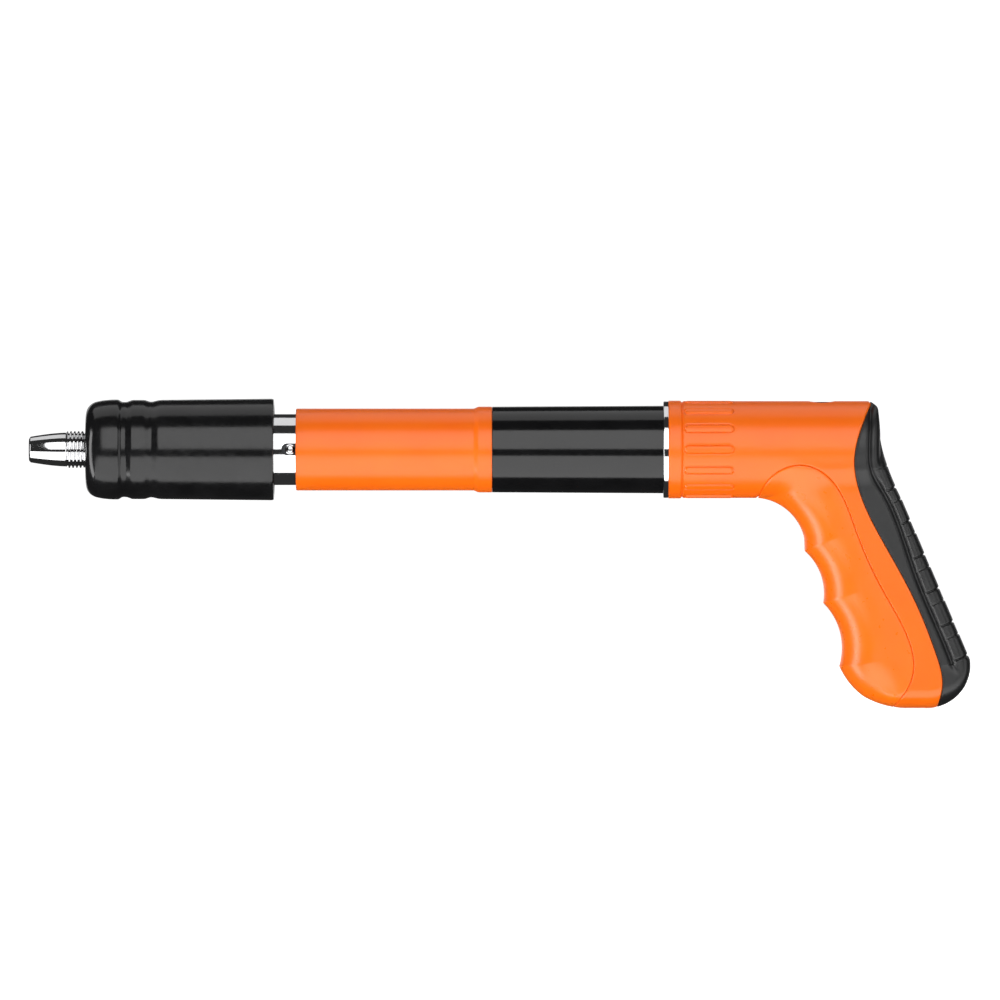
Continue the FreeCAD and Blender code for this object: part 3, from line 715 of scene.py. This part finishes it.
def make_nozzle():
    tip_r, root_r, crest_r = 5.1, 6.8, 7.4
    front_x, back_x = nozzle_low[0], nozzle_high[0]
    nose_end = front_x + NOSE_LENGTH
    nose = [(front_x + t * (NOSE_LENGTH - 0.7),
             tip_r + (root_r - tip_r) * math.sin(t * math.pi / 2 * 0.86) / math.sin(math.pi / 2 * 0.86), 0)
            for t in np.linspace(0.1, 1, 18)]
    thread_end = muffler_low[0] - THREAD_RELIEF
    points = [(front_x, BORE_R, 0.2), (front_x, tip_r - 0.6, 0.1), (front_x + 0.6, tip_r + 0.1, 0.15)]
    points += nose + [
        (nose_end, root_r, 0.2), (nose_end + 0.55, crest_r, 0.15), (thread_end, crest_r, 0.1),
        (thread_end, NECK_R, 0.1), (back_x - 8.0, NECK_R, 0), (back_x - 8.0, 10.0, 0.3),
        (back_x, 10.0, 0.3), (back_x, 6.0, 0), (back_x - 8.0, 6.0, 0), (back_x - 8.0, BORE_R, 0)]
    profile = filleted(points, 5)
    after = np.roll(profile, -1, axis=0)
    on_thread = (np.minimum(profile[:, 0], after[:, 0]) > nose_end - 0.3) & (profile[:, 1] > crest_r - 0.7)
    on_thread &= np.maximum(profile[:, 0], after[:, 0]) < thread_end + 0.1
    fine = subdivided(profile, np.where(on_thread, 0.12, 2.0))
    return turned("nozzle_steel", fine, 160, thread_relief, 50.0)


def make_muffler():
    a, b = muffler_low[0], muffler_high[0]
    r = muffler_high[2] - 0.5
    groove = a + 13.2
    points = [
        (a, NECK_R, 0), (a, r - 5.4, 0), (a + 0.35, r - 3.75, 1.0), (a + 1.55, r - 2.05, 1.4),
        (a + 3.3, r - 0.95, 1.6), (a + 6.2, r - 0.25, 2.0), (a + 10.2, r + 0.12, 2.2),
        (groove - 0.1, r + 0.1, 0.55), (groove + 1.3, r - 0.85, 0.5), (groove + 3.0, r - 0.85, 0.6),
        (groove + 5.3, r - 0.02, 0.6), (groove + 10.3, r - 0.02, 0.7), (groove + 12.8, r - 0.85, 0.9),
        (groove + 16.2, r - 0.02, 1.2), (b - 1.0, r + 0.46, 0.3), (b - 0.15, r + 0.3, 0.35),
        (b, r - 0.6, 0.2), (b, r - 1.9, 0), (a + 3.2, r - 1.9, 0), (a + 3.2, NECK_R, 0)]
    profile = subdivided(filleted(points), 2.5)
    return turned("muffler_body", profile, 224, None, 30.0)


def make_sleeve():
    a, b = sleeve_low[0], sleeve_high[0]
    inner, collar = sleeve_high[2] - 1.8, sleeve_high[2]
    outer = collar - 0.8
    cone = b - 7.2
    points = [
        (a, inner, 0), (a, outer, 0.6), (cone - 0.1, outer, 0.4), (cone + 1.6, collar - 0.02, 0.5),
        (b - 0.02, collar - 0.02, 0.35), (b, inner, 0)]
    return turned("fore_sleeve_skin", subdivided(filleted(points), 2.5), 192)


HOUSING_BORE_R = 14.7
SEAT_R = 15.4                       # bore of the sleeve, and of the housing's rear
HOUSING_SEAT = 226.1                # where the housing's wider bore begins


def make_housing():
    front_x, back_x = housing_low[0], housing_high[0]
    a, b = sleeve_high[0], collar_low[0]
    points = [
        (front_x, HOUSING_BORE_R, 0), (front_x, SEAT_R - 0.02, 0.2), (a + 0.02, SEAT_R - 0.02, 0),
        (a + 0.02, 17.18, 0.3), (b, 17.56, 0), (back_x, 17.56, 0.2), (back_x, SEAT_R, 0),
        (HOUSING_SEAT, SEAT_R, 0), (HOUSING_SEAT, HOUSING_BORE_R, 0)]
    return turned("housing_tube_skin", subdivided(filleted(points), 2.5), 192)


def make_collar():
    a, b = collar_low[0], collar_high[0]
    points = [(a, 17.6, 0), (a, HANDLE_R, 0.5), (b, HANDLE_R, 0.4), (b, 17.6, 0)]
    return turned("collar_ring_skin", filleted(points), 192)


STOP_HEAD_R, STOP_SHANK_R = 1.6, 2.0
STOP_INNER = 6.0                    # where the stop screws end inside the barrel


def make_stop_screws():
    """The two stop screws' domed heads and shanks, which slide in the slide tube's slots."""
    low, high = span("stop_screws")
    x, z = (low[0] + high[0]) / 2, (low[2] + high[2]) / 2
    profile = [(high[1] - 0.62 * (1 - math.cos(t)), STOP_HEAD_R * math.sin(t)) for t in np.linspace(0.0, 1.2, 9)]
    profile += [(high[1] - 0.62, STOP_HEAD_R), (12.5, STOP_HEAD_R), (12.4, STOP_SHANK_R), (STOP_INNER, STOP_SHANK_R)]
    steps = 40
    vertices, faces = [], []
    for side in (-1, 1):
        first = len(vertices)
        for y, r in profile[1:]:
            for k in range(steps):
                turn = 2 * math.pi * k / steps
                place = (x + r * math.cos(turn), side * y, z + r * math.sin(turn))
                vertices.append([value * MM for value in place])
        vertices.append([x * MM, side * profile[0][0] * MM, z * MM])
        apex = len(vertices) - 1
        rings = len(profile) - 1
        for k in range(steps):
            after = (k + 1) % steps
            cap = (first + k, first + after, apex)
            faces.append(cap if side > 0 else cap[::-1])
            for i in range(rings - 1):
                a, b = first + i * steps, first + (i + 1) * steps
                quad = (a + k, b + k, b + after, a + after)
                faces.append(quad if side > 0 else quad[::-1])
        end = tuple(first + (rings - 1) * steps + k for k in range(steps))
        faces.append(end[::-1] if side > 0 else end)
    return new_object("stop_screw_pair", vertices, faces, 40.0, closed=True)


# --- Springs --------------------------------------------------------------------------------

ROUND_WIRE = [(math.cos(k * math.pi / 6), math.sin(k * math.pi / 6)) for k in range(12)]
SQUARE_WIRE = [(1.0, 0.85), (0.85, 1.0), (-0.85, 1.0), (-1.0, 0.85),
               (-1.0, -0.85), (-0.85, -1.0), (0.85, -1.0), (1.0, -0.85)]
STEPS_A_TURN = 36


def make_spring(node, wire_r, turns, section):
    """An open coil in the place of a CAD spring, with its section swept round the bore axis."""
    low, high = span(node)
    start, end = low[0] + wire_r, high[0] - wire_r
    mean_r = high[2] - wire_r
    steps, sides = turns * STEPS_A_TURN, len(section)
    vertices = []
    for k in range(steps + 1):
        turn = 2 * math.pi * k / STEPS_A_TURN
        x = start + (end - start) * k / steps
        for out, along in section:
            r = mean_r + out * wire_r
            place = (x + along * wire_r, r * math.sin(turn), -r * math.cos(turn))
            vertices.append([value * MM for value in place])
    faces = [tuple(range(sides)), tuple(steps * sides + j for j in reversed(range(sides)))]
    for k in range(steps):
        for j in range(sides):
            a, b = k * sides + j, k * sides + (j + 1) % sides
            faces.append((a, a + sides, b + sides, b))
    return new_object(node + "_coil", vertices, faces, 40.0, closed=True)


def fit_spring(node, body, wire_r, turns, section):
    """Puts a spring's coil on its body, in place of the CAD spring."""
    coil = make_spring(node, wire_r, turns, section)
    finish_piece(coil, body, "spring_steel", node)
    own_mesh(coil)


# --- Materials ------------------------------------------------------------------------------


def srgb(r, g, b):
    def linear(c):
        c = c / 255.0
        return c / 12.92 if c <= 0.04045 else ((c + 0.055) / 1.055) ** 2.4
    return (linear(r), linear(g), linear(b), 1.0)


class Surface:
    """A material with a Principled shader, and short calls that add detail to it."""

    def __init__(self, name, **sockets):
        self.material = bpy.data.materials.new(name)
        self.material.use_nodes = True
        self.nodes = self.material.node_tree.nodes
        self.links = self.material.node_tree.links
        self.shader = self.nodes["Principled BSDF"]
        self.coordinates = self.nodes.new("ShaderNodeTexCoord")
        self.last_normal = None
        for key, value in sockets.items():
            self.shader.inputs[key.replace("_", " ")].default_value = value

    def noise(self, scale, detail=3.0, stretch=(1, 1, 1), roughness=0.5):
        mapping = self.nodes.new("ShaderNodeMapping")
        mapping.inputs["Scale"].default_value = stretch
        self.links.new(self.coordinates.outputs["Object"], mapping.inputs["Vector"])
        texture = self.nodes.new("ShaderNodeTexNoise")
        texture.inputs["Scale"].default_value = scale
        texture.inputs["Detail"].default_value = detail
        texture.inputs["Roughness"].default_value = roughness
        self.links.new(mapping.outputs["Vector"], texture.inputs["Vector"])
        return texture.outputs["Fac"]

    def remap(self, value, low, high, out_low, out_high):
        node = self.nodes.new("ShaderNodeMapRange")
        node.inputs["From Min"].default_value = low
        node.inputs["From Max"].default_value = high
        node.inputs["To Min"].default_value = out_low
        node.inputs["To Max"].default_value = out_high
        self.links.new(value, node.inputs["Value"])
        return node.outputs["Result"]

    def colour(self, value, low_colour, high_colour):
        ramp = self.nodes.new("ShaderNodeValToRGB")
        ramp.color_ramp.elements[0].position = 0.3
        ramp.color_ramp.elements[0].color = low_colour
        ramp.color_ramp.elements[1].position = 0.7
        ramp.color_ramp.elements[1].color = high_colour
        self.links.new(value, ramp.inputs["Fac"])
        self.links.new(ramp.outputs["Color"], self.shader.inputs["Base Color"])

    def rough(self, value, low, high):
        self.links.new(self.remap(value, 0.3, 0.7, low, high), self.shader.inputs["Roughness"])

    def bump(self, value, distance, strength=1.0):
        node = self.nodes.new("ShaderNodeBump")
        node.inputs["Distance"].default_value = distance
        node.inputs["Strength"].default_value = strength
        self.links.new(value, node.inputs["Height"])
        if self.last_normal is not None:
            self.links.new(self.last_normal, node.inputs["Normal"])
        self.last_normal = node.outputs["Normal"]
        self.links.new(self.last_normal, self.shader.inputs["Normal"])


def orange_plastic():
    s = Surface("orange_plastic", IOR=1.5, Specular_IOR_Level=0.5)
    s.colour(s.noise(60, 4), srgb(254, 107, 8), srgb(254, 112, 11))
    s.rough(s.noise(300, 3), 0.275, 0.30)
    s.bump(s.noise(1500, 2), 0.000004, 0.1)
    return s.material


def orange_grip():
    s = Surface("orange_grip", IOR=1.5, Specular_IOR_Level=0.6)
    s.colour(s.noise(80, 4), srgb(254, 111, 8), srgb(254, 116, 11))
    s.rough(s.noise(360, 3), 0.27, 0.31)
    s.bump(s.noise(1800, 2), 0.000005, 0.12)
    return s.material


def strap_rubber():
    s = Surface("strap_rubber", IOR=1.5, Specular_IOR_Level=0.62)
    s.colour(s.noise(240, 5), (0.0045, 0.0047, 0.005, 1), (0.0075, 0.0078, 0.0082, 1))
    s.rough(s.noise(500, 4), 0.38, 0.44)
    s.bump(s.noise(1500, 3), 0.000008, 0.2)
    return s.material


def black_coat():
    s = Surface("black_coat", IOR=1.5, Specular_IOR_Level=0.52)
    s.colour(s.noise(90, 4), (0.0035, 0.0035, 0.0038, 1), (0.008, 0.008, 0.0085, 1))
    s.rough(s.noise(420, 5), 0.13, 0.22)
    s.bump(s.noise(900, 3), 0.000012, 0.5)
    s.bump(s.noise(3000, 2, (1, 0.04, 0.04)), 0.000012, 0.35)
    return s.material


def tube_black():
    s = Surface("tube_black", IOR=1.5, Specular_IOR_Level=0.55)
    s.colour(s.noise(70, 4), (0.003, 0.003, 0.0033, 1), (0.006, 0.006, 0.0065, 1))
    s.rough(s.noise(500, 4), 0.10, 0.16)
    s.bump(s.noise(500, 2), 0.00001, 0.4)
    return s.material


def chrome_plate():
    s = Surface("chrome_plate", Metallic=1.0)
    s.colour(s.noise(50, 3), (0.80, 0.80, 0.81, 1), (0.86, 0.86, 0.87, 1))
    s.rough(s.noise(700, 5), 0.05, 0.11)
    s.bump(s.noise(4000, 2, (1, 0.03, 0.03)), 0.000006, 0.3)
    return s.material


def polished_steel():
    s = Surface("polished_steel", Metallic=1.0)
    s.colour(s.noise(180, 4), (0.66, 0.66, 0.67, 1), (0.78, 0.78, 0.79, 1))
    s.rough(s.noise(500, 4), 0.05, 0.08)
    s.bump(s.noise(400, 2), 0.000001, 0.1)
    return s.material


def machined(name, low, high, rough_low=0.28, rough_high=0.42):
    s = Surface(name, Metallic=1.0)
    s.colour(s.noise(220, 4), low, high)
    s.rough(s.noise(900, 4), rough_low, rough_high)
    s.bump(s.noise(4000, 2, (1, 0.05, 0.05)), 0.00002, 0.5)
    return s.material


def seal_rubber():
    s = Surface("seal_rubber", IOR=1.5)
    s.colour(s.noise(300, 4), (0.010, 0.010, 0.010, 1), (0.022, 0.022, 0.022, 1))
    s.rough(s.noise(900, 4), 0.5, 0.7)
    s.bump(s.noise(1800, 3), 0.00004, 0.5)
    return s.material


def screw_black():
    s = Surface("screw_black", Metallic=1.0)
    s.colour(s.noise(260, 4), (0.018, 0.018, 0.019, 1), (0.035, 0.035, 0.037, 1))
    s.rough(s.noise(900, 4), 0.3, 0.45)
    s.bump(s.noise(2500, 3), 0.00002, 0.5)
    return s.material


def make_materials():
    return {
        "orange_plastic": orange_plastic(),
        "orange_grip": orange_grip(),
        "strap_rubber": strap_rubber(),
        "black_coat": black_coat(),
        "tube_black": tube_black(),
        "chrome_plate": chrome_plate(),
        "polished_steel": polished_steel(),
        "inner_steel": machined("inner_steel", (0.035, 0.036, 0.039, 1), (0.06, 0.061, 0.065, 1)),
        "spring_steel": machined("spring_steel", (0.22, 0.22, 0.23, 1), (0.36, 0.36, 0.37, 1)),
        "bush_bronze": machined("bush_bronze", (0.45, 0.30, 0.12, 1), (0.60, 0.42, 0.19, 1)),
        "steel_wool": machined("steel_wool", (0.30, 0.30, 0.31, 1), (0.48, 0.48, 0.49, 1), 0.5, 0.7),
        "seal_rubber": seal_rubber(),
        "screw_black": screw_black(),
    }


materials = make_materials()


def dress_frame():
    """Gives every CAD node the procedural material of its slot."""
    slots = {part["node"]: part["material_slot"] for part in frame["record"]["subparts"]}
    for node, obj in frame["nodes"].items():
        for slot in obj.material_slots:
            slot.material = materials[slots[node]]


def finish_piece(obj, body, material, *nodes):
    obj.data.materials.append(materials[material])
    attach(obj, body)
    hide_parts(*nodes)


# --- Stage ----------------------------------------------------------------------------------


def make_stage():
    """A pale round floor that curves up into a wall all round, beyond every camera's place."""
    floor = cad_low.z - 0.0004
    bend, radius, height, steps = 0.8, 7.0, 6.0, 96
    path = [(0.5, floor), (2.0, floor), (radius - bend, floor)]
    for t in np.linspace(0, math.pi / 2, 16)[1:]:
        path.append((radius - bend + bend * math.sin(t), floor + bend * (1 - math.cos(t))))
    path.append((radius, floor + height))
    turns = [2 * math.pi * k / steps for k in range(steps)]
    vertices = [(r * math.cos(turn), r * math.sin(turn), z) for r, z in path for turn in turns]
    faces = [tuple(range(steps))]
    for i in range(len(path) - 1):
        for k in range(steps):
            after = (k + 1) % steps
            faces.append((i * steps + k, (i + 1) * steps + k, (i + 1) * steps + after, i * steps + after))
    stage = new_object("studio_floor", vertices, faces)
    s = Surface("studio_paper", Roughness=0.9, Specular_IOR_Level=0.1)
    s.colour(s.noise(3, 2), (0.90, 0.90, 0.90, 1), (0.92, 0.92, 0.92, 1))
    stage.data.materials.append(s.material)
    s.shader.inputs["Emission Color"].default_value = (1, 1, 1, 1)
    away = s.nodes.new("ShaderNodeVectorMath")
    away.operation = "LENGTH"
    s.links.new(s.coordinates.outputs["Object"], away.inputs[0])
    glow = s.remap(away.outputs["Value"], 0.5, 1.3, 0.8, 1.05)
    s.links.new(glow, s.shader.inputs["Emission Strength"])
    stage.visible_glossy = False
    stage.visible_diffuse = False
    stage.visible_shadow = False


WATTS_PER_RADIANCE = math.pi        # of a panel of one square metre
PANEL_DISTANCE = 1.6


def add_panel(name, low, high, left, right, radiance, azimuth=0.0):
    """A soft panel that faces the tool, between two heights in degrees above the camera's line."""
    middle = Vector(((cad_low.x + cad_high.x) / 2, 0, 0))

    def direction(angle):
        turn = math.radians(angle)
        return Vector((0, -math.cos(turn), math.sin(turn))) * PANEL_DISTANCE
    bottom, top = direction(low), direction(high)
    centre = (bottom + top) / 2
    swing = Quaternion((0, 0, 1), math.radians(azimuth))
    data = bpy.data.lights.new(name, "AREA")
    data.shape = "RECTANGLE"
    data.size, data.size_y = right - left, (top - bottom).length
    data.energy = radiance * WATTS_PER_RADIANCE * data.size * data.size_y
    light = bpy.data.objects.new(name, data)
    facing = swing @ centre.normalized()
    light.location = middle + swing @ (centre + Vector(((left + right) / 2, 0, 0)))
    light.rotation_euler = facing.to_track_quat("Z", "Y").to_euler()
    light.visible_camera = False
    bpy.context.scene.collection.objects.link(light)
    return light


def make_lights():
    add_panel("upper_box", 1, 52, -0.62, 1.0, 2.0)
    add_panel("lower_box", -80, -17, -0.95, 1.2, 2.0)
    add_panel("top_box", 84, 124, -1.0, 1.0, 0.8)
    add_panel("left_box", -50, 30, -0.22, 0.22, 5.0, azimuth=-72)
    add_panel("right_box", -50, 35, -0.35, 0.35, 1.2, azimuth=72)
    fill = add_panel("back_fill", -40, 60, -1.0, 1.0, 1.6, azimuth=180)
    fill.visible_glossy = False
    add_panel("back_glint", -12, 22, -0.9, 0.9, 0.7, azimuth=180)
    world = bpy.data.worlds.new("studio")
    world.use_nodes = True
    world.node_tree.nodes["Background"].inputs["Color"].default_value = (1, 1, 1, 1)
    world.node_tree.nodes["Background"].inputs["Strength"].default_value = 0.03
    bpy.context.scene.world = world


def make_camera():
    """Level with the tool and square to its side, from far off through a long lens."""
    data = bpy.data.cameras.new("camera")
    data.lens = 450.0
    data.sensor_width = 36.0
    data.clip_end = 50.0
    camera = bpy.data.objects.new("camera", data)
    camera.location = ((cad_low.x + cad_high.x) / 2 + 0.0002, -5.0, -0.0202)
    camera.rotation_euler = (math.pi / 2, 0, 0)
    bpy.context.scene.collection.objects.link(camera)
    bpy.context.scene.camera = camera
    bpy.context.scene.view_settings.view_transform = "Standard"


# --- Build ----------------------------------------------------------------------------------

make_camera()
make_lights()
make_stage()
dress_frame()
near_shell, far_shell = make_shells()
finish_piece(near_shell, "receiver", "orange_plastic", "handle_left")
finish_piece(far_shell, "receiver", "orange_plastic", "handle_right")
finish_piece(make_finger_grip(), "receiver", "orange_grip", "finger_grip")
finish_piece(make_back_strap(), "receiver", "strap_rubber", "back_strap")
finish_piece(make_sleeve(), "receiver", "orange_plastic", "fore_sleeve")
finish_piece(make_housing(), "receiver", "tube_black", "housing_tube")
finish_piece(make_collar(), "receiver", "chrome_plate", "collar_ring")
finish_piece(make_nozzle(), "barrel", "polished_steel", "nozzle")
finish_piece(make_muffler(), "barrel", "black_coat", "muffler_shell")
finish_piece(make_stop_screws(), "barrel", "polished_steel", "stop_screws")
fit_spring("press_spring", "slide", 1.0, 8, SQUARE_WIRE)
fit_spring("striker_spring", "slide", 0.8, 12, ROUND_WIRE)
fit_spring("firing_pin_spring", "barrel", 0.5, 5, ROUND_WIRE)

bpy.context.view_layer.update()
import json
